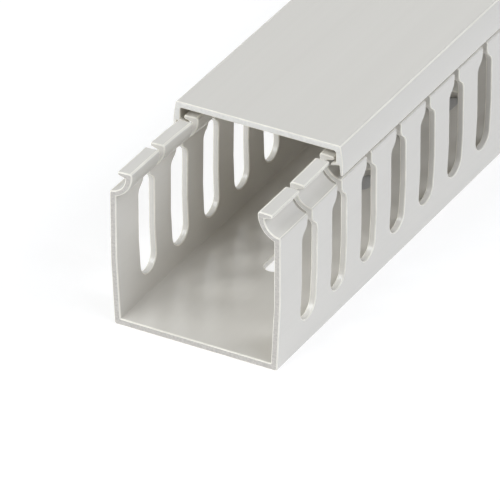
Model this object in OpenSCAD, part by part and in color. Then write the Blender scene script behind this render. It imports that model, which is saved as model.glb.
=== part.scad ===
// Slotted wire duct with its push-on cover.
// The duct is one extruded channel. Its walls are cut into fingers by a row of
// slots, and each finger ends in a folded head with a lip. The cover slides or
// pushes on: two barbs inside its skirts hook under the lips.
// Frame: X across, Y along the length from the front cut end, Z up from the
// underside. Millimetres.

/* [Duct] */
// Outside width across the upright part of the walls
duct_w = 50; // [42:1:80]
// Height of the duct with the cover on
duct_h = 50; // [42:1:80]
// Length of the slotted channel
duct_l = 1000; // [200:10:2000]
// Thickness of the side walls
wall_t = 1.9; // [1.4:0.1:2.2]
// Thickness of the base
base_t = 2; // [1.4:0.1:2.6]
// How far each wall leans in where it meets the base
wall_lean = 0.9; // [0:0.1:1.4]
// Height at which the leaning wall turns upright
lean_h = 20; // [12:1:26]
// Radius along the outer edges of the base
base_edge_r = 0.8; // [0.3:0.1:1.2]
// Radius of the corners inside the channel
base_fillet_r = 0.6; // [0.2:0.1:1.5]

/* [Wall slots] */
// Width of a slot
slot_w = 8; // [6:0.1:9]
// Distance from one slot to the next
slot_pitch = 16.4; // [14:0.1:22]
// Distance from the front cut end to the middle of the first slot
slot_first = 15.7; // [10:0.1:22]
// Height of the slots' round lower end above the underside
slot_floor = 7.8; // [5:0.1:12]
// Radius of the two bends of each shoulder, where a slot narrows to its slit
shoulder_r = 3.1; // [2:0.1:3.6]
// Width of the slit between two finger heads
slit_w = 2.4; // [1.6:0.1:3]
// Height of the slit below the fold of the wall
neck_drop = 2; // [1:0.1:4]
// Shortest piece of full wall left at the far end of the duct
end_land = 4; // [2:0.5:10]

/* [Finger heads] */
// Thickness of the curved web of a head at its top
head_t = 2; // [1.6:0.1:2.4]
// Radius of the groove in the head's outer face
groove_r = 4.8; // [4.4:0.1:5.2]
// How far the groove's axis lies outside the wall's face
groove_out = 0.1; // [0:0.1:0.5]
// Radius of the web's inner face
web_r = 7.4; // [6.6:0.1:8]
// Radius of the bend from the web's inner face into the top of the head
head_edge_r = 0.8; // [0.4:0.1:1]
// How far the lip reaches out over the groove
lip_reach = 2.3; // [1.9:0.1:2.6]
// Thickness of the lip at its tip
lip_t = 0.95; // [0.8:0.05:1.3]
// Height of the groove's axis above the root of the lip
lip_drop = 0.2; // [0:0.05:0.8]
// Radius of the fold at the top of the upright wall
fold_r = 0.6; // [0.4:0.1:1]

/* [Cover] */
// Length of the cover
cover_l = 1000; // [200:10:2000]
// How far the cover's end is set back from the front of the duct
cover_setback = 33; // [0:0.5:60]
// Thickness of the cover's top
cover_t = 1.8; // [1.4:0.1:2.2]
// Thickness of the skirts above the barb
skirt_t = 2.05; // [1.5:0.05:2.1]
// Thickness of the skirts at their lower edge
skirt_edge_t = 0.8; // [0.6:0.1:1.1]
// How far each skirt leans in towards the top
skirt_lean = 0.6; // [0:0.1:1]
// Height above the skirt's lower edge at which its outside starts to lean
skirt_upright = 4; // [2:0.5:6]
// Radius along the upper edges of the cover
cover_edge_r = 0.9; // [0.4:0.1:1.4]
// Radius of the corners inside the cover
cover_fillet_r = 0.6; // [0.2:0.1:1.2]
// Thickness of the barb
barb_t = 0.8; // [0.6:0.1:1]
// How far the barb's tip slants back towards its top
barb_slant = 0.5; // [0:0.1:0.8]

/* [Fits] */
// Gap between the cover's top and the finger heads
head_gap = 1.9; // [1:0.1:3]
// Gap between the barb and the lip above it
barb_gap = 0.5; // [0.3:0.05:0.6]
// Gap between the barb's tip and the floor of the groove
tip_gap = 0.7; // [0.4:0.05:1]
// Gap between the skirt's lower edge and the ledge below it
seam_gap = 1.2; // [0.3:0.05:1.5]

/* [Base holes] */
// Width of an oblong hole in the base
hole_w = 5.6; // [4:0.1:7]
// Length of an oblong hole, end to end
hole_l = 11.5; // [8:0.5:16]
// Distance from one hole to the next
hole_pitch = 48; // [30:1:100]
// Distance from the front cut end to the middle of the first hole
hole_first = 45.3; // [20:0.1:60]

/* [Hidden] */
$fn = 96;
cut = 1;                                    // how far a cut runs past a face
lip_fall = 0.04;                            // fall of the lip's top, per mm outwards
lip_rise = 0.28;                            // rise of the lip's underside, per mm outwards

half_w = duct_w / 2;
base_x = half_w - wall_lean;                // outer face of the wall at the base
inner_x = half_w - wall_t;                  // inner face of the upright wall
roof_z = duct_h - cover_t;                  // underside of the cover's top
head_top = roof_z - head_gap;               // highest point of the finger heads

// The groove's axis places the whole head: web, lip and fold
groove_x = half_w + groove_out;
head_x = groove_x - groove_r;               // outer face of the web, at the groove's deepest
web_x = head_x - head_t;                    // inner face of the web, where it is upright
bend_z = head_top - head_edge_r;            // height of the web's upright spot
lip_x = head_x + lip_reach;                 // tip of the lip
lip_top = head_top - (lip_x - web_x) * lip_fall;
lip_under = lip_top - lip_t;                // underside of the lip at its tip
lip_root = lip_under - lip_reach * lip_rise;
groove_z = lip_root + lip_drop;

// Height of a circle round the groove's axis, below the axis, at a given x
function under_groove(r, x) = groove_z - sqrt(r * r - pow(groove_x - x, 2));

fold_x = half_w - fold_r;                   // axis of the fold's outer bend
fold_z = under_groove(groove_r + fold_r, fold_x);
fold_top = under_groove(groove_r, half_w);  // ledge at the top of the upright wall

// Slots
shoulder_step = (slot_w - slit_w) / 4;      // each of a shoulder's two bends narrows by this
shoulder_h = sqrt(pow(shoulder_r, 2) - pow(shoulder_r - shoulder_step, 2));
neck_z = fold_top - neck_drop;              // lower end of the slit
shoulder_z = neck_z - 2 * shoulder_h;       // top of the slot's parallel part
slots = floor((duct_l - end_land - slot_w / 2 - slot_first) / slot_pitch);
holes = floor((duct_l - hole_l - hole_first) / hole_pitch);

// Cover
skirt_low = under_groove(groove_r - seam_gap, half_w - skirt_edge_t);
skirt_x = half_w - skirt_t;                 // inner face of the skirts
lean_z = skirt_low + skirt_upright;
top_x = half_w - skirt_lean;                // side of the cover at its top
// The barb's top follows the lip's underside, and its tip stays clear of the groove
function barb_top(x) = lip_under - (lip_x - x) * lip_rise - barb_gap;
barb_low = barb_top(head_x + tip_gap) - barb_t;
barb_x = groove_x - sqrt(pow(groove_r - tip_gap, 2) - pow(groove_z - barb_low, 2));

// Copies its children to both sides of the middle plane
module both_sides() {
    children();
    mirror([1, 0, 0]) children();
}

// Fills an inner corner whose faces run along +X and +Y
module fillet(r) {
    difference() {
        translate([-r / 4, -r / 4]) square(r * 5 / 4);
        translate([r, r]) circle(r);
    }
}

// Runs an outline in X and Z along the length
module along_y(from, length) {
    translate([0, from + length, 0]) rotate([90, 0, 0]) linear_extrude(length) children();
}

// Right half of the channel's section up to the fold: base and wall
module wall_outline() {
    polygon([
        [0, 0], [base_x - base_edge_r, 0], [base_x, base_edge_r], [half_w, lean_h],
        [half_w, fold_z], [inner_x, fold_z], [inner_x, lean_h],
        [base_x - wall_t, base_t], [0, base_t]
    ]);
    translate([base_x - base_edge_r, base_edge_r]) circle(base_edge_r);
    translate([fold_x, fold_z]) circle(fold_r);
    translate([base_x - wall_t, base_t]) mirror([1, 0]) fillet(base_fillet_r);
}

// Curved web of the head, from the fold up to the lip
module web_outline() {
    tangent_x = groove_x - (groove_x - fold_x) * groove_r / (groove_r + fold_r);
    intersection() {
        difference() {
            translate([web_x + web_r, bend_z]) circle(web_r);
            translate([groove_x, groove_z]) circle(groove_r);
        }
        translate([web_x - cut, bend_z - web_r - cut])
            square([tangent_x - web_x + cut, web_r + cut]);
    }
}

// Lip of the head, with the bend that joins it to the web
module lip_outline() {
    bend_x = web_x + head_edge_r;
    polygon([
        [bend_x, bend_z], [head_x, lip_root], [lip_x, lip_under], [lip_x, lip_top],
        [bend_x, head_top]
    ]);
    translate([bend_x, bend_z]) circle(head_edge_r);
}

// One slot of the wall, in Y and Z: a round lower end, a parallel part, and
// shoulders of two bends each that narrow it to a slit, open at the top
module slot_outline() {
    end_z = slot_floor + slot_w / 2;
    mid_w = (slot_w + slit_w) / 2;
    translate([0, end_z]) circle(slot_w / 2);
    translate([-slot_w / 2, end_z]) square([slot_w, shoulder_z - end_z]);
    intersection() {
        translate([-slot_w / 2, shoulder_z]) square([slot_w, shoulder_h]);
        union() {
            both_sides() translate([slot_w / 2 - shoulder_r, shoulder_z]) circle(shoulder_r);
            translate([-slit_w / 2, shoulder_z]) square([slit_w, shoulder_h]);
        }
    }
    difference() {
        translate([-mid_w / 2, shoulder_z + shoulder_h]) square([mid_w, shoulder_h]);
        both_sides() translate([slit_w / 2 + shoulder_r, neck_z]) circle(shoulder_r);
    }
    translate([-slit_w / 2, neck_z]) square([slit_w, head_top - neck_z + cut]);
}

// Every slot, cut straight across both walls
module wall_slots() {
    translate([-half_w - cut, 0, 0]) rotate([90, 0, 90]) linear_extrude(duct_w + 2 * cut)
        for (k = [0 : slots]) translate([slot_first + k * slot_pitch, 0]) slot_outline();
}

// The row of oblong screw holes along the middle of the base
module base_holes() {
    reach = (hole_l - hole_w) / 2;
    for (k = [0 : holes]) translate([0, hole_first + k * hole_pitch, -cut]) {
        translate([0, -reach, 0]) cylinder(d = hole_w, h = base_t + 2 * cut);
        translate([0, reach, 0]) cylinder(d = hole_w, h = base_t + 2 * cut);
        translate([-hole_w / 2, -reach, 0]) cube([hole_w, 2 * reach, base_t + 2 * cut]);
    }
}

module duct() color([0.81, 0.81, 0.79]) difference() {
    along_y(0, duct_l) both_sides() {
        wall_outline();
        web_outline();
        lip_outline();
    }
    wall_slots();
    base_holes();
}

// Right half of the cover's section: top, skirt and barb
module cover_outline() {
    wedge_x = half_w - skirt_t / 2;         // where the skirt's thin edge starts
    polygon([
        [0, roof_z], [skirt_x, roof_z], [skirt_x, barb_top(skirt_x)],
        [barb_x + barb_slant, barb_top(barb_x + barb_slant)], [barb_x, barb_low],
        [wedge_x, barb_top(wedge_x) - barb_t], [half_w - skirt_edge_t, skirt_low],
        [half_w, skirt_low], [half_w, lean_z], [top_x, duct_h - cover_edge_r],
        [top_x - cover_edge_r, duct_h], [0, duct_h]
    ]);
    translate([top_x - cover_edge_r, duct_h - cover_edge_r]) circle(cover_edge_r);
    translate([skirt_x, roof_z]) rotate(180) fillet(cover_fillet_r);
}

module cover() color([0.81, 0.81, 0.79])
    along_y(cover_setback, cover_l) both_sides() cover_outline();

duct();
cover();
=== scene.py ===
"""Slotted wire duct with its push-on cover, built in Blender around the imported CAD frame.

Both extrusions are rebuilt as closed shells with rounded edges, in the frame's own place:
X across, Y along the length from the front cut end, Z up from the underside. Sections
and outlines are worked out in millimetres, and Shell turns them into metres.
"""

import logging
import math
from dataclasses import dataclass, field
from enum import Enum

import bmesh
import bpy
import numpy as np
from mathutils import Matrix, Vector


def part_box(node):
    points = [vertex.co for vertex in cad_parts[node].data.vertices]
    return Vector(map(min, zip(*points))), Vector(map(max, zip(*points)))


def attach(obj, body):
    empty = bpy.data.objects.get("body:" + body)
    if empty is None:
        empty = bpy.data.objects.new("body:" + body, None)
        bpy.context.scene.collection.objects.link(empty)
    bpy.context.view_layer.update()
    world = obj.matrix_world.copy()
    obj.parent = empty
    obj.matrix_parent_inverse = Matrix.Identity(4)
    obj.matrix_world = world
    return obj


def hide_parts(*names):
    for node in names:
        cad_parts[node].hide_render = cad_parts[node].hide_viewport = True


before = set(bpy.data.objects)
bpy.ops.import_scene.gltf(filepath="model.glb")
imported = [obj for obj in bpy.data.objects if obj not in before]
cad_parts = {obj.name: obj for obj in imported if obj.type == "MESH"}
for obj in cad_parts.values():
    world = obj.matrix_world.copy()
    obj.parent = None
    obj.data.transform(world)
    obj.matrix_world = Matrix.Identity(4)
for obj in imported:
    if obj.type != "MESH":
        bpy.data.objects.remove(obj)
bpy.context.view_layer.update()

MM = 0.001
MERGE_MM = 0.002  # points nearer than this become one
SAWN_FACING = 0.99  # how squarely a sawn face looks along the length, at least
SAWN_REACH_MM = 0.01  # how far a sawn face may lie from the end that it belongs to
SHARP_DEGREES = 30  # edges turned by more than this are rounded
LOG = logging.getLogger("wire_duct")

Colour = tuple[float, float, float]
Scale = tuple[float, float, float]  # about how many bumps there are in a metre, along each axis
WHITE: Colour = (1.0, 1.0, 1.0)
NEUTRAL: Colour = (0.965, 1.0, 1.04)
COOL: Colour = (0.95, 1.0, 1.10)

Tree = bpy.types.NodeTree
Node = bpy.types.Node
Socket = bpy.types.NodeSocket


class Face(Enum):
    """How a face of an extrusion was made, or that it is a rounded edge with a painted highlight; this
    is also its material's index.
    """

    EXTRUDED = 0
    SAWN = 1
    # rounded edges in a paler finish: a painted highlight
    PAINTED_HIGHLIGHT_EDGE = 2


class Side(Enum):
    """A side of the middle plane, as the sign of its X."""

    RIGHT = 1
    LEFT = -1


class Skin(Enum):
    """A face of a wall."""

    OUTER = "outer"
    INNER = "inner"


def arc(centre: tuple[float, float], radius: float, start: float, end: float, steps: int) -> np.ndarray:
    """Points on a circle: centre + radius * (cos turn, sin turn), with turn in even steps.

    Args:
        centre: the circle's centre.
        radius: its radius.
        start: angle of the first point, in degrees.
        end: angle of the last point, in degrees.
        steps: number of straight pieces.

    Returns:
        An array of shape (steps + 1, 2).
    """
    turn = np.radians(np.linspace(start, end, steps + 1))
    return np.stack([centre[0] + radius * np.cos(turn), centre[1] + radius * np.sin(turn)], axis=-1)


def points_at(*points: tuple[float, float]) -> np.ndarray:
    """Corner points of an outline as an array of shape (count, 2)."""
    return np.array(points, dtype=float)


def join(runs: list[tuple[np.ndarray, slice | None]]) -> tuple[np.ndarray, np.ndarray]:
    """Joins runs of an outline.

    Args:
        runs: each run's points, and which of the pieces between them get a painted highlight, if any.

    Returns:
        All points, and for each straight piece between two of them whether it gets a painted highlight.
    """
    marks = []
    for points, pieces in runs:
        mark = np.zeros(len(points), dtype=bool)
        if pieces is not None:
            mark[:-1][pieces] = True
        marks.append(mark)
    return np.concatenate([points for points, _ in runs]), np.concatenate(marks)[:-1]


def quads(numbers: np.ndarray) -> np.ndarray:
    """Corners of the quads between neighbours of grids of point numbers.

    Args:
        numbers: one or more grids, of shape (..., rows, columns).

    Returns:
        An array of shape (..., rows - 1, columns - 1, 4).
    """
    near, far = numbers[..., :-1, :], numbers[..., 1:, :]
    return np.stack([near[..., :-1], far[..., :-1], far[..., 1:], near[..., 1:]], axis=-1)


@dataclass
class Shell:
    """A closed surface gathered from grids and flat polygons, in millimetres."""

    name: str
    points: list[np.ndarray] = field(default_factory=list)
    faces: list[list[int]] = field(default_factory=list)
    painted_highlight: list[bool] = field(default_factory=list)  # which faces have the paler finish that paints a highlight on the edges
    count: int = 0

    def _keep(self, points: np.ndarray) -> np.ndarray:
        """Stores points.

        Args:
            points: places of shape (..., 3).

        Returns:
            Their numbers, of shape (...).
        """
        flat = points.reshape(-1, 3)
        numbers = np.arange(self.count, self.count + len(flat)).reshape(points.shape[:-1])
        self.points.append(flat)
        self.count += len(flat)
        return numbers

    def grid(self, points: np.ndarray, painted_highlight: np.ndarray | bool = False) -> None:
        """Adds the quads between neighbours of grids of points.

        Args:
            points: one or more grids, of shape (..., rows, columns, 3).
            painted_highlight: which rows of quads have the paler finish that paints a highlight on the
                edges, or the same for all.
        """
        corners = quads(self._keep(points))
        self.faces.extend(corners.reshape(-1, 4).tolist())
        marks = np.broadcast_to(np.reshape(painted_highlight, (-1, 1)), corners.shape[:-1])
        self.painted_highlight.extend(marks.ravel().tolist())

    def polygons(self, points: np.ndarray) -> None:
        """Adds flat polygons.

        Args:
            points: the corners of one or more polygons, of shape (..., corners, 3).
        """
        corners = self._keep(points).reshape(-1, points.shape[-2])
        self.faces.extend(corners.tolist())
        self.painted_highlight.extend([False] * len(corners))

    def build(self, ends: tuple[float, float]) -> bpy.types.Object:
        """Joins the faces, closes what is open and turns every face outwards.

        Args:
            ends: Y of the two sawn ends, in millimetres.

        Returns:
            The finished object, linked to the scene at the origin.
        """
        mesh = bpy.data.meshes.new(self.name)
        mesh.from_pydata(np.concatenate(self.points) * MM, [], self.faces)
        # Marked faces get the paler finish that paints a highlight on the edges.
        kinds = np.where(self.painted_highlight, Face.PAINTED_HIGHLIGHT_EDGE.value, Face.EXTRUDED.value)
        mesh.polygons.foreach_set("material_index", kinds)
        shell = bmesh.new()
        shell.from_mesh(mesh)
        bmesh.ops.remove_doubles(shell, verts=shell.verts, dist=MERGE_MM * MM)
        bmesh.ops.holes_fill(shell, edges=[edge for edge in shell.edges if edge.is_boundary], sides=0)
        bmesh.ops.recalc_face_normals(shell, faces=shell.faces)
        open_edges = sum(not edge.is_manifold for edge in shell.edges)
        if open_edges:
            raise ValueError(f"{self.name} has {open_edges} open edges")
        for face in shell.faces:
            face.smooth = True
            y = face.calc_center_median().y / MM
            at_end = min(abs(y - end) for end in ends) < SAWN_REACH_MM
            if at_end and abs(face.normal.y) > SAWN_FACING:
                face.material_index = Face.SAWN.value
        shell.to_mesh(mesh)
        shell.free()
        piece = bpy.data.objects.new(self.name, mesh)
        bpy.context.scene.collection.objects.link(piece)
        return piece


def round_edges(piece: bpy.types.Object, width_mm: float, segments: int) -> None:
    """Rounds every edge past SHARP_DEGREES, and keeps flat faces flat in the shading.

    Args:
        piece: the piece to finish.
        width_mm: how far the rounding reaches into each face.
        segments: number of straight pieces across the rounding.
    """
    bevel = piece.modifiers.new("rounded_edges", "BEVEL")
    bevel.width = width_mm * MM
    bevel.segments = segments
    bevel.limit_method = "ANGLE"
    bevel.angle_limit = math.radians(SHARP_DEGREES)
    bevel.use_clamp_overlap = False
    # The rounding gets the paler finish that paints a highlight along every edge.
    bevel.material = Face.PAINTED_HIGHLIGHT_EDGE.value
    normals = piece.modifiers.new("flat_faces_stay_flat", "WEIGHTED_NORMAL")
    normals.keep_sharp = False


@dataclass
class Duct:
    """The slotted channel, the same on both sides until pulled_in bends it. In millimetres."""

    width: float
    length: float
    roof_z: float  # underside of the cover's top
    wall_t: float = 1.9
    base_t: float = 2.0
    wall_lean: float = 0.9  # how far a wall leans out, from its foot up to lean_h
    lean_h: float = 20.0
    base_edge_r: float = 0.8
    base_fillet_r: float = 0.2
    slot_w: float = 8.0
    slot_pitch: float = 16.4
    slot_first: float = 15.7
    slot_floor: float = 7.8  # height of the slots' lower ends
    ring_share: float = 0.7  # lowest point of the faces round a slot's end, over slot_floor
    shoulder_r: float = 3.1
    slit_w: float = 2.4  # gap between two fingers' heads
    neck_drop: float = 2.0  # from the groove's outer edge down to where the slit starts
    end_land: float = 4.0  # least wall between the last slot and the far end
    head_t: float = 2.0
    head_gap: float = 1.9  # from the heads up to roof_z
    groove_r: float = 4.8
    groove_out: float = 0.1  # how far the groove's axis lies outside the wall
    web_r: float = 7.4  # bend of the head's inner side
    head_edge_r: float = 0.8
    lip_reach: float = 2.3
    lip_t: float = 0.95
    lip_drop: float = 0.2  # the groove's axis lies this much above the lip's root
    lip_fall: float = 0.04  # slope of the lip's upper side
    lip_rise: float = 0.28  # slope of the lip's underside
    fold_r: float = 0.6
    hole_w: float = 5.6
    hole_l: float = 11.5
    hole_pitch: float = 48.0
    hole_first: float = 45.3
    strip_x: float = 6.0  # half width of the strip of base that holds the screw holes
    pull_right: float = 0.45  # how far the cover pulls the heads in, once it holds them
    pull_left: float = 0.95
    pull_start: float = 17.0
    pull_end: float = 43.0
    edge_mm: float = 0.32
    edge_segments: int = 2
    side_steps: int = 4  # pieces of a slot's round end that face each side
    under_steps: int = 8  # pieces of it that face down
    hole_side_steps: int = 3  # pieces of a hole's round end that face each side
    hole_end_steps: int = 6  # pieces of it that face along the length

    def __post_init__(self) -> None:
        """Works out the places that the outlines share."""
        self.half_w = self.width / 2
        self.base_x = self.half_w - self.wall_lean
        self.inner_x = self.half_w - self.wall_t
        self.head_top = self.roof_z - self.head_gap
        self.groove_x = self.half_w + self.groove_out
        self.head_x = self.groove_x - self.groove_r
        self.web_x = self.head_x - self.head_t
        self.bend_z = self.head_top - self.head_edge_r
        self.lip_x = self.head_x + self.lip_reach
        self.lip_top = self.head_top - (self.lip_x - self.web_x) * self.lip_fall
        self.lip_under = self.lip_top - self.lip_t
        self.lip_root = self.lip_under - self.lip_reach * self.lip_rise
        self.groove_z = self.lip_root + self.lip_drop
        self.fold_x = self.half_w - self.fold_r
        self.fold_z = self.under_groove(self.groove_r + self.fold_r, self.fold_x)
        self.neck_z = self.under_groove(self.groove_r, self.half_w) - self.neck_drop
        step_in = (self.slot_w - self.slit_w) / 2
        self.shoulder_turn = math.degrees(math.acos(1 - step_in / 2 / self.shoulder_r))
        rise = 2 * self.shoulder_r * math.sin(math.radians(self.shoulder_turn))
        self.shoulder_z = self.neck_z - rise
        self.end_z = self.slot_floor + self.slot_w / 2
        self.ring_z = self.slot_floor * self.ring_share
        last_slot = self.length - self.end_land - self.slot_w / 2
        self.slot_y = self.row(self.slot_first, last_slot, self.slot_pitch)
        self.hole_y = self.row(self.hole_first, self.length - self.hole_l, self.hole_pitch)

    def row(self, first: float, last: float, pitch: float) -> np.ndarray:
        """Y of the centres of a row: first, and then every pitch up to last."""
        return first + pitch * np.arange(math.floor((last - first) / pitch) + 1)

    def under_groove(self, radius: float, x: float) -> float:
        """Height at x of the lower half of a circle round the groove's axis."""
        return self.groove_z - math.sqrt(radius**2 - (self.groove_x - x) ** 2)

    def borders(self, centres: np.ndarray) -> np.ndarray:
        """Y of the borders between cells: halfway between centres, and the two ends."""
        return np.concatenate([[0.0], (centres[1:] + centres[:-1]) / 2, [self.length]])

    def outer_x(self, z: np.ndarray | float) -> np.ndarray:
        """X of the wall's outer face: a straight lean up to lean_h, and upright above."""
        return np.interp(z, [self.base_edge_r, self.lean_h], [self.base_x, self.half_w])

    def inner_face_x(self, z: np.ndarray | float) -> np.ndarray:
        """X of the wall's inner face, which leans as the outer face does."""
        return np.interp(z, [self.base_t, self.lean_h], [self.base_x - self.wall_t, self.inner_x])

    def shoulder(self) -> np.ndarray:
        """Half width of a slot against height, from its round end to its slit.

        The shoulder is an S: an arc that bulges into the slot's corner and an arc that
        bulges into the finger, both of radius shoulder_r.

        Returns:
            Rows of (half width, z), upwards.
        """
        half = self.slot_w / 2
        low_at = (half - self.shoulder_r, self.shoulder_z)
        high_at = (self.slit_w / 2 + self.shoulder_r, self.neck_z)
        low = arc(low_at, self.shoulder_r, 0, self.shoulder_turn, steps=5)
        high = arc(high_at, self.shoulder_r, 180 + self.shoulder_turn, 180, steps=5)
        return np.concatenate([points_at((half, self.end_z), (half, self.lean_h)), low, high[1:]])

    def head(self) -> tuple[np.ndarray, np.ndarray]:
        """Section of a finger's head in X and Z, from the wall's outer to its inner face.

        The fold gets a painted highlight on the third next to the groove, and the bend into the web on
        the three pieces of its five that are next to the top.

        Returns:
            The section's points, and for each piece between them whether it gets a painted highlight.
        """
        meet = math.degrees(math.atan2(self.fold_z - self.groove_z, self.fold_x - self.groove_x)) + 360
        root = 180 + math.degrees(math.asin(self.lip_drop / self.groove_r))
        foot = 180 + math.degrees(math.acos((self.web_x + self.web_r - self.inner_x) / self.web_r))
        fold = arc((self.fold_x, self.fold_z), self.fold_r, 0, meet - 180, steps=6)
        groove = arc((self.groove_x, self.groove_z), self.groove_r, meet, root, steps=12)
        bend = arc((self.web_x + self.head_edge_r, self.bend_z), self.head_edge_r, 90, 180, steps=5)
        web = arc((self.web_x + self.web_r, self.bend_z), self.web_r, 180, foot, steps=14)
        return join([
            (points_at((self.half_w, self.neck_z)), None),
            (fold, slice(4, 6)),
            (groove[1:], None),
            (points_at((self.lip_x, self.lip_under), (self.lip_x, self.lip_top)), None),
            (bend, slice(0, 3)),
            (web[1:], None),
            (points_at((self.inner_x, self.neck_z)), None),
        ])

    def on_wall(self, side: Side, skin: Skin, y: np.ndarray, z: np.ndarray) -> np.ndarray:
        """Puts points of Y and Z onto a face of a wall.

        Args:
            side: which wall.
            skin: which of its faces.
            y: the points' Y.
            z: their Z, of the same shape or one that spreads to it.

        Returns:
            The points, with one more axis for X, Y and Z.
        """
        z = np.broadcast_to(z, y.shape)
        x = self.outer_x(z) if skin is Skin.OUTER else self.inner_face_x(z)
        return np.stack([side.value * x, y, z], axis=-1)

    def add_wall(self, shell: Shell, side: Side) -> None:
        """Adds one slotted wall with its heads, as cells of one slot each.

        Round a slot's lower end, a ring of quads joins the half circle to a rectangle.
        Above it, each row of quads joins the slot's edge to the cell's border.

        Args:
            shell: the surface to add to.
            side: which wall.
        """
        centre, border = self.slot_y[:, None], self.borders(self.slot_y)
        left, right = border[:-1, None], border[1:, None]
        ring = arc((0, self.end_z), self.slot_w / 2, 180, 360, 2 * self.side_steps + self.under_steps)
        under = slice(self.side_steps, self.side_steps + self.under_steps + 1)
        drop = np.linspace(self.end_z, self.ring_z, self.side_steps + 1)
        beside, over = 0 * drop[1:], np.linspace(0, 1, self.under_steps + 1)
        rim_y = centre + ring[:, 0]
        frame_y = np.concatenate([left + beside, left + (right - left) * over, right + beside], axis=1)
        frame_z = np.concatenate([drop[:-1], 0 * over + self.ring_z, drop[-2::-1]])
        half, rows = self.shoulder().T
        # The head's section, and which of its pieces get the paler finish of a painted highlight.
        head, painted_highlight = self.head()
        slit = self.slit_w / 2
        outline_y = np.concatenate([centre - half[::-1], rim_y[:, 1:-1], centre + half], axis=1)
        outline_z = np.concatenate([rows[::-1], ring[1:-1, 1], rows])

        round_y, round_z = np.stack([rim_y, frame_y], axis=1), np.stack([ring[:, 1], frame_z])
        skirt_y = np.concatenate([frame_y[:, under], right, left], axis=1)
        before = np.stack([left + 0 * half, centre - half], axis=-1)
        behind = np.stack([centre + half, right + 0 * half], axis=-1)
        lows = {Skin.OUTER: self.base_edge_r, Skin.INNER: self.base_t + self.base_fillet_r}
        for skin, low in lows.items():
            shell.grid(self.on_wall(side, skin, round_y, round_z))
            skirt_z = np.concatenate([frame_z[under], [low, low]])
            shell.polygons(self.on_wall(side, skin, skirt_y, skirt_z))
            shell.grid(self.on_wall(side, skin, before, rows[:, None]))
            shell.grid(self.on_wall(side, skin, behind, rows[:, None]))
        rims = [self.on_wall(side, skin, outline_y, outline_z) for skin in Skin]
        shell.grid(np.stack(rims, axis=-2))
        for start, end in ((left, centre - slit), (centre + slit, right)):
            y = np.concatenate([start, end], axis=1)[:, None, :] + 0 * head[:, :1]
            x = np.broadcast_to(side.value * head[:, :1], y.shape)
            shell.grid(np.stack([x, y, np.broadcast_to(head[:, 1:], y.shape)], axis=-1), painted_highlight)

    def add_base(self, shell: Shell) -> None:
        """Adds the base's faces, its rounded edges and the row of oblong holes.

        Round a hole, a ring of quads joins the oblong to its cell's rectangle. A half
        circle's first and last quarter go to the rectangle's sides, the rest to its end.

        Args:
            shell: the surface to add to.
        """
        border, cell = self.borders(self.slot_y), self.borders(self.hole_y)
        near, far = cell[:-1, None], cell[1:, None]
        reach = (self.hole_l - self.hole_w) / 2
        mid, part = self.hole_y[:, None], np.linspace(0, 1, self.hole_side_steps + 1)
        over, flank = np.linspace(1, -1, self.hole_end_steps + 1), np.ones(self.hole_side_steps)
        half_circle = arc((0, 0), self.hole_w / 2, 0, 180, 2 * len(flank) + self.hole_end_steps)
        rim_x = np.concatenate([half_circle[:, 0], -half_circle[:, 0], half_circle[:1, 0]])
        rim_y = np.concatenate([mid + reach + half_circle[:, 1], mid - reach - half_circle[:, 1],
                                mid + reach + 0 * mid], axis=1)
        side_x = np.concatenate([flank, over, -flank])
        frame_x = self.strip_x * np.concatenate([side_x, -side_x, [1.0]])
        ahead = mid + reach + (far - mid - reach) * part
        back = mid - reach + (near - mid + reach) * part
        frame_y = np.concatenate([ahead, far + 0 * over[1:-1], ahead[:, ::-1],
                                  back, near + 0 * over[1:-1], back[:, ::-1], ahead[:, :1]], axis=1)
        edge_y = np.concatenate([back[:, :0:-1], back[:, :1], ahead[:, :-1]], axis=1).ravel()
        edge_y = np.append(edge_y, self.length)
        foot_x = self.inner_face_x(self.base_t + self.base_fillet_r) - self.base_fillet_r
        for z, side_edge in ((0.0, self.base_x - self.base_edge_r), (self.base_t, foot_x)):
            x = np.stack([rim_x + 0 * rim_y, frame_x + 0 * frame_y], axis=1)
            y = np.stack([rim_y, frame_y], axis=1)
            shell.grid(np.stack([x, y, np.full_like(x, z)], axis=-1))
            for side in Side:
                strip, rim = np.full_like(edge_y, self.strip_x), np.full_like(border, side_edge)
                x, y = np.concatenate([strip, rim]), np.concatenate([edge_y, border[::-1]])
                shell.polygons(np.stack([side.value * x, y, np.full_like(x, z)], axis=-1))
        bore_x = np.broadcast_to(rim_x, rim_y.shape)
        bores = [np.stack([bore_x, rim_y, np.full_like(rim_y, z)], axis=-1) for z in (0.0, self.base_t)]
        shell.grid(np.stack(bores, axis=1))
        outer_at = (self.base_x - self.base_edge_r, self.base_edge_r)
        outer = arc(outer_at, self.base_edge_r, -90, 0, steps=5)
        inner_at = (foot_x, self.base_t + self.base_fillet_r)
        inner = arc(inner_at, self.base_fillet_r, -90, 0, steps=4)
        for side in Side:
            for bend in (outer, inner):
                x, y = np.meshgrid(side.value * bend[:, 0], border, indexing="ij")
                shell.grid(np.stack([x, y, np.broadcast_to(bend[:, 1:], x.shape)], axis=-1))

    def pulled_in(self, points: np.ndarray) -> np.ndarray:
        """Bends the walls in where the cover holds them, most at the top.

        The shift is the side's pull, times the square root of the height above the base
        as a share of the wall, times a smooth step along Y from pull_start to pull_end.

        Args:
            points: places on the upright channel, of shape (count, 3).

        Returns:
            The places on the bent channel.
        """
        x, y, z = points.T
        up = np.sqrt(np.clip((z - self.base_t) / (self.head_top - self.base_t), 0, 1))
        along = np.clip((y - self.pull_start) / (self.pull_end - self.pull_start), 0, 1)
        pull = np.where(x > 0, -self.pull_right, self.pull_left) * along**2 * (3 - 2 * along)
        return np.stack([x + pull * up, y, z], axis=-1)

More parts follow.
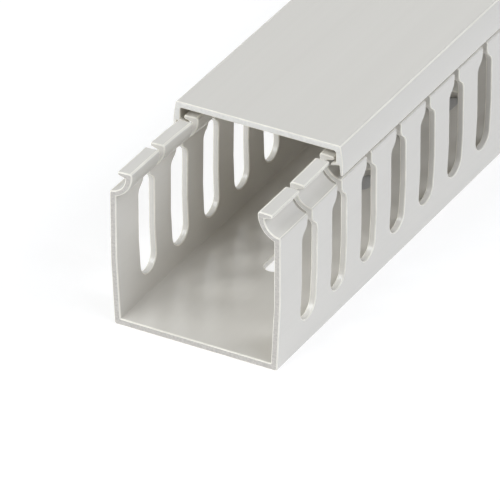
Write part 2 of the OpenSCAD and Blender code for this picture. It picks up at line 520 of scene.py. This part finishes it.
    def build(self) -> bpy.types.Object:
        """Builds the whole channel as one closed piece.

        Returns:
            The channel.
        """
        shell = Shell("slotted_channel")
        for side in Side:
            self.add_wall(shell, side)
        self.add_base(shell)
        shell.points = [self.pulled_in(points) for points in shell.points]
        piece = shell.build((0.0, self.length))
        round_edges(piece, self.edge_mm, self.edge_segments)
        return piece


@dataclass
class Cover:
    """The push-on cover: one section, carried along the duct. In millimetres."""

    duct: Duct
    front_y: float
    length: float
    height: float
    top_t: float = 1.8
    skirt_t: float = 2.05
    skirt_edge_t: float = 0.8  # thickness of the skirt's lower edge
    skirt_lean: float = 0.6  # how far the skirt leans in at the top
    skirt_upright: float = 4.0  # height of its upright foot
    edge_r: float = 0.9
    fillet_r: float = 0.6
    barb_t: float = 0.8
    barb_slant: float = 0.5  # how far the barb's nose slopes back
    barb_gap: float = 0.5  # from the barb up to the lip
    tip_gap: float = 0.7  # from the barb's nose to the groove
    seam_gap: float = 1.2  # from the skirt's lower edge to the groove
    edge_mm: float = 0.25
    edge_segments: int = 2

    def barb_top(self, x: float) -> float:
        """Height of the barb's upper face, which follows the lip above it."""
        return self.duct.lip_under - (self.duct.lip_x - x) * self.duct.lip_rise - self.barb_gap

    def half_section(self) -> tuple[np.ndarray, np.ndarray]:
        """Right half of the section in X and Z, from the top's edge round to its underside.

        The middle third of the outer edge's rounding gets a painted highlight.

        Returns:
            The points, and for each piece between them whether it gets a painted highlight.
        """
        duct = self.duct
        skirt_in = duct.half_w - self.skirt_edge_t
        skirt_low = duct.under_groove(duct.groove_r - self.seam_gap, skirt_in)
        skirt_x, wedge_x = duct.half_w - self.skirt_t, duct.half_w - self.skirt_t / 2
        barb_low = self.barb_top(duct.head_x + self.tip_gap) - self.barb_t
        reach = duct.groove_r - self.tip_gap
        barb_x = duct.groove_x - math.sqrt(reach**2 - (duct.groove_z - barb_low) ** 2)
        slant_x = barb_x + self.barb_slant
        edge_at = (duct.half_w - self.skirt_lean - self.edge_r, self.height - self.edge_r)
        fillet_at = (skirt_x - self.fillet_r, self.height - self.top_t - self.fillet_r)
        hook = points_at(
            (duct.half_w, skirt_low + self.skirt_upright), (duct.half_w, skirt_low),
            (skirt_in, skirt_low), (wedge_x, self.barb_top(wedge_x) - self.barb_t),
            (barb_x, barb_low), (slant_x, self.barb_top(slant_x)), (skirt_x, self.barb_top(skirt_x)))
        return join([
            (arc(edge_at, self.edge_r, 90, 0, steps=6), slice(2, 4)),
            (hook, None),
            (arc(fillet_at, self.fillet_r, 0, 90, steps=5), None),
        ])

    def build(self) -> bpy.types.Object:
        """Carries the section along the length, as one closed piece.

        Returns:
            The cover.
        """
        half, half_painted_highlight = self.half_section()
        section = np.concatenate([half, half[::-1] * [-1, 1], half[:1]])
        # Painted highlight marks for both halves; the two pieces across the middle get none.
        painted_highlight = np.concatenate([half_painted_highlight, [False], half_painted_highlight[::-1], [False]])
        y = np.array([self.front_y, self.front_y + self.length])
        x, y = np.meshgrid(section[:, 0], y, indexing="ij")
        shell = Shell("push_on_cover")
        shell.grid(np.stack([x, y, np.broadcast_to(section[:, 1:], x.shape)], axis=-1), painted_highlight)
        piece = shell.build((self.front_y, self.front_y + self.length))
        round_edges(piece, self.edge_mm, self.edge_segments)
        return piece


@dataclass(frozen=True)
class Wiring:
    """Short calls that place and join shader nodes in one tree."""

    tree: Tree

    def add(self, kind: str, values: dict[str | int, object] | None = None, **settings: object) -> Node:
        """Adds a node.

        Args:
            kind: the node's type name.
            values: input sockets to set or, when given a socket, to link.
            settings: the node's own properties.

        Returns:
            The node.
        """
        node = self.tree.nodes.new(kind)
        for key, value in settings.items():
            setattr(node, key, value)
        for key, value in (values or {}).items():
            if isinstance(value, bpy.types.NodeSocket):
                self.tree.links.new(value, node.inputs[key])
            else:
                node.inputs[key].default_value = value
        return node

    def place(self, scale: Scale) -> Socket:
        """The piece's own coordinates in metres, times a scale for each axis."""
        coordinates = self.add("ShaderNodeTexCoord").outputs["Object"]
        return self.add("ShaderNodeMapping", {"Vector": coordinates, "Scale": scale}).outputs["Vector"]

    def noise(self, scale: Scale, detail: float, roughness: float = 0.5) -> Socket:
        """Fractal noise on the piece's own coordinates."""
        values = {"Vector": self.place(scale), "Scale": 1.0, "Detail": detail, "Roughness": roughness}
        return self.add("ShaderNodeTexNoise", values).outputs["Fac"]

    def remap(self, source: Socket, low: float, high: float,
              start: float = 0.3, end: float = 0.7) -> Socket:
        """Maps start..end of a factor to low..high."""
        values = {"Value": source, "From Min": start, "From Max": end, "To Min": low, "To Max": high}
        return self.add("ShaderNodeMapRange", values).outputs["Result"]

    def math(self, operation: str, a: Socket | float, b: Socket | float) -> Socket:
        """One arithmetic step on two factors."""
        return self.add("ShaderNodeMath", {0: a, 1: b}, operation=operation).outputs[0]

    def weigh(self, *parts: tuple[Socket, float]) -> Socket:
        """Adds up factors, each times its own weight.

        Args:
            parts: the factors and their weights.

        Returns:
            The sum.
        """
        total, *rest = [self.math("MULTIPLY", factor, weight) for factor, weight in parts]
        for share in rest:
            total = self.math("ADD", total, share)
        return total

    def highest(self, *factors: Socket) -> Socket:
        """Finds the largest of some factors.

        Args:
            factors: the factors.

        Returns:
            The largest.
        """
        top, *rest = factors
        for factor in rest:
            top = self.math("MAXIMUM", top, factor)
        return top

    def seen(self) -> Socket:
        """1 for what the camera sees, straight or in a reflection or through glass."""
        path = self.add("ShaderNodeLightPath").outputs
        return self.highest(path["Is Camera Ray"], path["Is Glossy Ray"], path["Is Transmission Ray"])

    def tint(self, factor: Socket, dark: Colour, light: Colour) -> Socket:
        """Blends two colours.

        Args:
            factor: 0 for the dark one, 1 for the light one.
            dark: the dark colour.
            light: the light colour.

        Returns:
            The blend.
        """
        node = self.add("ShaderNodeMix", data_type="RGBA")
        self.tree.links.new(factor, node.inputs[0])
        node.inputs[6].default_value, node.inputs[7].default_value = (*dark, 1), (*light, 1)
        return node.outputs[2]


def new_tree(name: str) -> tuple[bpy.types.Material, Wiring, Node]:
    """Makes an empty node material.

    Args:
        name: the material's name.

    Returns:
        The material, its wiring and its output node.
    """
    material = bpy.data.materials.new(name)
    material.use_nodes = True
    material.node_tree.nodes.clear()
    wiring = Wiring(material.node_tree)
    return material, wiring, wiring.add("ShaderNodeOutputMaterial")


@dataclass(frozen=True)
class Finish:
    """One finish of the plastic. Its pattern leads the colour, the roughness and the relief."""

    name: str
    light: Colour
    dark: Colour
    roughness: float
    spread: float  # how far the roughness goes up and down
    specular: float
    relief: float  # height of the bump, in metres
    strength: float  # how much of that height shows

    def pattern(self, nodes: Wiring) -> tuple[Socket, Socket, Socket]:
        """What each finish works out by itself.

        Args:
            nodes: the tree's wiring.

        Returns:
            The way from dark to light, the roughness and the height of the relief.
        """
        raise NotImplementedError

    def varied(self, nodes: Wiring, source: Socket) -> Socket:
        """Roughness that goes up and down by the spread, with a factor."""
        return nodes.remap(source, self.roughness - self.spread, self.roughness + self.spread)

    def material(self) -> bpy.types.Material:
        """Builds the finish.

        Returns:
            The material.
        """
        material, nodes, output = new_tree(self.name)
        tone, roughness, height = self.pattern(nodes)
        bump = nodes.add("ShaderNodeBump", {
            "Strength": self.strength, "Distance": self.relief, "Height": height})
        shader = nodes.add("ShaderNodeBsdfPrincipled", {
            "Base Color": nodes.tint(tone, self.dark, self.light), "Roughness": roughness,
            "Normal": bump.outputs["Normal"], "Specular IOR Level": self.specular})
        nodes.tree.links.new(shader.outputs[0], output.inputs["Surface"])
        return material


@dataclass(frozen=True)
class ExtrudedPvc(Finish):
    """Grey rigid PVC as it leaves the die: satin, with fine lines along the length."""

    name: str = "extruded_pvc"
    light: Colour = (0.654, 0.623, 0.562)
    dark: Colour = (0.626, 0.595, 0.535)
    roughness: float = 0.20
    spread: float = 0.012
    specular: float = 0.55
    relief: float = 0.00003
    strength: float = 0.05
    patch_scale: Scale = (60, 4, 60)
    broad_scale: Scale = (700, 3, 700)
    fine_scale: Scale = (2600, 12, 2600)
    peel_scale: Scale = (900, 500, 900)

    def pattern(self, nodes: Wiring) -> tuple[Socket, Socket, Socket]:
        """Long faint patches, a broad and a fine set of die lines along Y, and orange peel.

        Args:
            nodes: the tree's wiring.

        Returns:
            As in Finish.
        """
        patches, peel = nodes.noise(self.patch_scale, 3), nodes.noise(self.peel_scale, 2)
        broad, fine = nodes.noise(self.broad_scale, 2), nodes.noise(self.fine_scale, 3, 0.6)
        tone = nodes.remap(nodes.weigh((patches, 0.7), (broad, 0.3)), 0, 1)
        sway = nodes.remap(broad, -self.spread, self.spread)
        roughness = nodes.math("ADD", sway, self.varied(nodes, fine))
        return tone, roughness, nodes.weigh((broad, 0.15), (fine, 0.15), (peel, 0.7))


@dataclass(frozen=True)
class SawnPvc(Finish):
    """The same PVC where a saw cut it: dull, speckled and scored across the section."""

    light: Colour = (0.585, 0.548, 0.495)
    dark: Colour = (0.415, 0.387, 0.350)
    roughness: float = 0.7
    spread: float = 0.1
    specular: float = 0.35
    relief: float = 0.00012
    strength: float = 0.8
    crumb_scale: Scale = (1500, 1500, 1500)
    line_scale: Scale = (250, 250, 2400)

    def pattern(self, nodes: Wiring) -> tuple[Socket, Socket, Socket]:
        """Fine crumbs, and saw lines across the section, one above the other.

        Args:
            nodes: the tree's wiring.

        Returns:
            As in Finish.
        """
        crumbs, lines = nodes.noise(self.crumb_scale, 5, 0.65), nodes.noise(self.line_scale, 3, 0.6)
        grain = nodes.weigh((crumbs, 0.6), (lines, 0.4))
        return nodes.remap(grain, 0, 1, 0.38, 0.62), self.varied(nodes, grain), grain


@dataclass(frozen=True)
class PaintedHighlightEdge(Finish):
    """A rounded edge, paler than the faces: a painted highlight along the edge."""

    name: str = "painted_highlight_edge"
    light: Colour = (0.86, 0.820, 0.720)
    dark: Colour = (0.74, 0.705, 0.618)
    roughness: float = 0.38
    spread: float = 0.06
    specular: float = 0.5
    relief: float = 0.00004
    strength: float = 0.4
    highlight_patches_scale: Scale = (180, 60, 180)
    burr_scale: Scale = (1800, 1800, 1800)

    def pattern(self, nodes: Wiring) -> tuple[Socket, Socket, Socket]:
        """Patches of paler and darker highlight along the edge, over faint burrs.

        Args:
            nodes: the tree's wiring.

        Returns:
            As in Finish.
        """
        highlight_patches, burrs = nodes.noise(self.highlight_patches_scale, 3, 0.6), nodes.noise(self.burr_scale, 3, 0.6)
        return nodes.remap(highlight_patches, 0, 1), self.varied(nodes, burrs), burrs


@dataclass(frozen=True)
class Lamp:
    """A soft square lamp, seen from the duct's front end."""

    name: str
    azimuth: float  # in degrees
    elevation: float
    distance: float  # in metres
    size: float
    power: float  # in watts
    colour: Colour

    def build(self, target: Vector) -> bpy.types.Object:
        """Hangs the lamp and turns it to the target.

        Args:
            target: the place that it shines on.

        Returns:
            The lamp.
        """
        data = bpy.data.lights.new(self.name, "AREA")
        data.shape, data.size, data.energy, data.color = "SQUARE", self.size, self.power, self.colour
        lamp = bpy.data.objects.new(self.name, data)
        back = direction(self.azimuth, self.elevation)
        lamp.location = target + back * self.distance
        lamp.rotation_mode = "QUATERNION"
        lamp.rotation_quaternion = (-back).to_track_quat("-Z", "Y")
        bpy.context.scene.collection.objects.link(lamp)
        return lamp


def direction(azimuth: float, elevation: float) -> Vector:
    """Points from the object towards a viewer: azimuth 0 is -Y, 90 is +X.

    Args:
        azimuth: in degrees.
        elevation: in degrees, upwards.

    Returns:
        The unit vector.
    """
    turn, rise = math.radians(azimuth), math.radians(elevation)
    level = math.cos(rise)
    return Vector((math.sin(turn) * level, -math.cos(turn) * level, math.sin(rise)))


@dataclass(frozen=True)
class Studio:
    """Pale floor, white surroundings, soft lamps and the camera, in metres."""

    target: tuple[float, float, float] = (0.0059, 0.0185, 0.0213)
    azimuth: float = 29.057
    elevation: float = 31.350
    distance: float = 1.6031
    lens: float = 447.73
    sensor: float = 36.0
    clip: tuple[float, float] = (0.01, 50.0)
    floor_size: float = 12.0
    floor_drop: float = 0.00002  # keeps the floor clear of the duct's underside
    floor_tone: Colour = (0.458, 0.45, 0.438)
    glow: float = 0.62  # what the floor adds to its colour where it is seen
    table_light: float = 0.75  # what it gives the duct from below
    shade_x: float = 0.0238  # half width of the strip under the duct that gives no light
    shade_y: float = 0.070  # where that strip starts, behind the first screw hole
    shade_end: float = 0.988  # where it ends
    soft_x: float = 0.0005  # how softly it ends, beside the duct and along it
    soft_y: float = 0.01
    lamps: tuple[Lamp, ...] = (
        Lamp("right", 75, 50, 6.0, 3.0, 95.0, COOL),
        Lamp("right_back", 110, 40, 6.0, 3.0, 125.0, COOL),
        Lamp("top", 0, 88, 6.0, 4.2, 55.0, NEUTRAL),
        Lamp("front", -22, 40, 6.0, 3.3, 180.0, NEUTRAL),
        Lamp("left", -60, 28, 6.0, 2.1, 125.0, NEUTRAL),
    )

    def surroundings(self) -> None:
        """Gives no light of its own, but looks white where it is seen."""
        world = bpy.data.worlds.new("surroundings")
        world.use_nodes = True
        world.node_tree.nodes.clear()
        nodes = Wiring(world.node_tree)
        sky = nodes.add("ShaderNodeBackground", {"Color": (*WHITE, 1.0), "Strength": nodes.seen()})
        output = nodes.add("ShaderNodeOutputWorld")
        nodes.tree.links.new(sky.outputs[0], output.inputs["Surface"])
        bpy.context.scene.world = world

    def floor_material(self) -> bpy.types.Material:
        """A matt tone and a glow, which together look white where no shadow falls.

        The strip that the duct covers doesn't glow, but it does on its underside, so that
        it isn't a dark band from below.

        Returns:
            The material.
        """
        material, nodes, output = new_tree("floor")
        matt = nodes.add("ShaderNodeBsdfDiffuse", {"Color": (*self.floor_tone, 1.0)})
        coordinates = nodes.add("ShaderNodeTexCoord").outputs["Object"]
        spot = nodes.add("ShaderNodeSeparateXYZ", {0: coordinates}).outputs
        across = nodes.math("ABSOLUTE", spot["X"], 0.0)
        beside = nodes.remap(across, 0.0, 1.0, self.shade_x - self.soft_x, self.shade_x)
        before = nodes.remap(spot["Y"], 1.0, 0.0, self.shade_y, self.shade_y + self.soft_y)
        behind = nodes.remap(spot["Y"], 0.0, 1.0, self.shade_end, self.shade_end + self.soft_y)
        below = nodes.add("ShaderNodeNewGeometry").outputs["Backfacing"]
        bare, seen = nodes.highest(beside, before, behind, below), nodes.seen()
        level = nodes.math("MULTIPLY", bare, nodes.remap(seen, self.table_light, self.glow, 0.0, 1.0))
        colour = nodes.tint(seen, COOL, WHITE)
        glow = nodes.add("ShaderNodeEmission", {"Color": colour, "Strength": level})
        both = nodes.add("ShaderNodeAddShader", {0: matt.outputs[0], 1: glow.outputs[0]})
        nodes.tree.links.new(both.outputs[0], output.inputs["Surface"])
        return material

    def floor(self) -> bpy.types.Object:
        """Lays a large flat sheet just under the duct, which keeps its shadow.

        Returns:
            The floor.
        """
        edge = np.linspace(-self.floor_size / 2, self.floor_size / 2, 3)
        x, y = np.meshgrid(edge, edge, indexing="ij")
        points = np.stack([x, y, np.full_like(x, -self.floor_drop)], axis=-1).reshape(-1, 3)
        mesh = bpy.data.meshes.new("floor")
        mesh.from_pydata(points, [], quads(np.arange(x.size).reshape(x.shape)).reshape(-1, 4))
        mesh.materials.append(self.floor_material())
        floor = bpy.data.objects.new("floor", mesh)
        bpy.context.scene.collection.objects.link(floor)
        return floor

    def camera(self) -> bpy.types.Object:
        """Looks at the front end from its right, from above.

        Returns:
            The camera.
        """
        data = bpy.data.cameras.new("camera")
        data.lens, data.sensor_width = self.lens, self.sensor
        data.clip_start, data.clip_end = self.clip
        camera = bpy.data.objects.new("camera", data)
        back = direction(self.azimuth, self.elevation)
        camera.location = Vector(self.target) + back * self.distance
        camera.rotation_mode = "QUATERNION"
        camera.rotation_quaternion = (-back).to_track_quat("-Z", "Y")
        bpy.context.scene.collection.objects.link(camera)
        bpy.context.scene.camera = camera
        return camera

    def build(self) -> None:
        """Sets up the whole studio."""
        self.surroundings()
        self.floor()
        self.camera()
        for lamp in self.lamps:
            lamp.build(Vector(self.target))
        bpy.context.scene.view_settings.view_transform = "Standard"


def dress(piece: bpy.types.Object, node: str, finishes: list[bpy.types.Material]) -> None:
    """Gives a piece its finishes and lets it stand for a CAD node, on that node's body.

    Args:
        piece: the finished piece.
        node: the CAD node, which is also its body's name.
        finishes: the materials in the order of Face.
    """
    for material in finishes:
        piece.data.materials.append(material)
    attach(piece, node)
    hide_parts(node)
    LOG.info("%s: %d faces before rounding", piece.name, len(piece.data.polygons))


def main() -> None:
    """Builds the duct, its cover and the studio."""
    logging.basicConfig(level=logging.INFO, format="%(name)s: %(message)s")
    low, high = (np.array(corner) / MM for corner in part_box("duct"))
    cover_low, cover_high = (np.array(corner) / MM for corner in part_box("cover"))
    # edge: the paler finish of the rounded edges, a painted highlight.
    extruded, edge = ExtrudedPvc().material(), PaintedHighlightEdge().material()
    coarse = SawnPvc("coarse_cut").material()
    # The cover's end is cut smoother; its paler colour is painted light, standing in for more light
    # from above and in front on the cover's end.
    clean = SawnPvc("clean_cut_and_painted_light", light=(0.78, 0.758, 0.705), dark=(0.68, 0.660, 0.61), roughness=0.5,
                    relief=0.00003).material()
    roof_z = cover_high[2] - Cover.top_t
    duct = Duct(width=high[0] - low[0], length=high[1] - low[1], roof_z=roof_z)
    dress(duct.build(), "duct", [extruded, coarse, edge])
    cover = Cover(duct, cover_low[1], length=cover_high[1] - cover_low[1], height=cover_high[2])
    dress(cover.build(), "cover", [extruded, clean, edge])
    Studio().build()


if __name__ == "__main__":
    main()
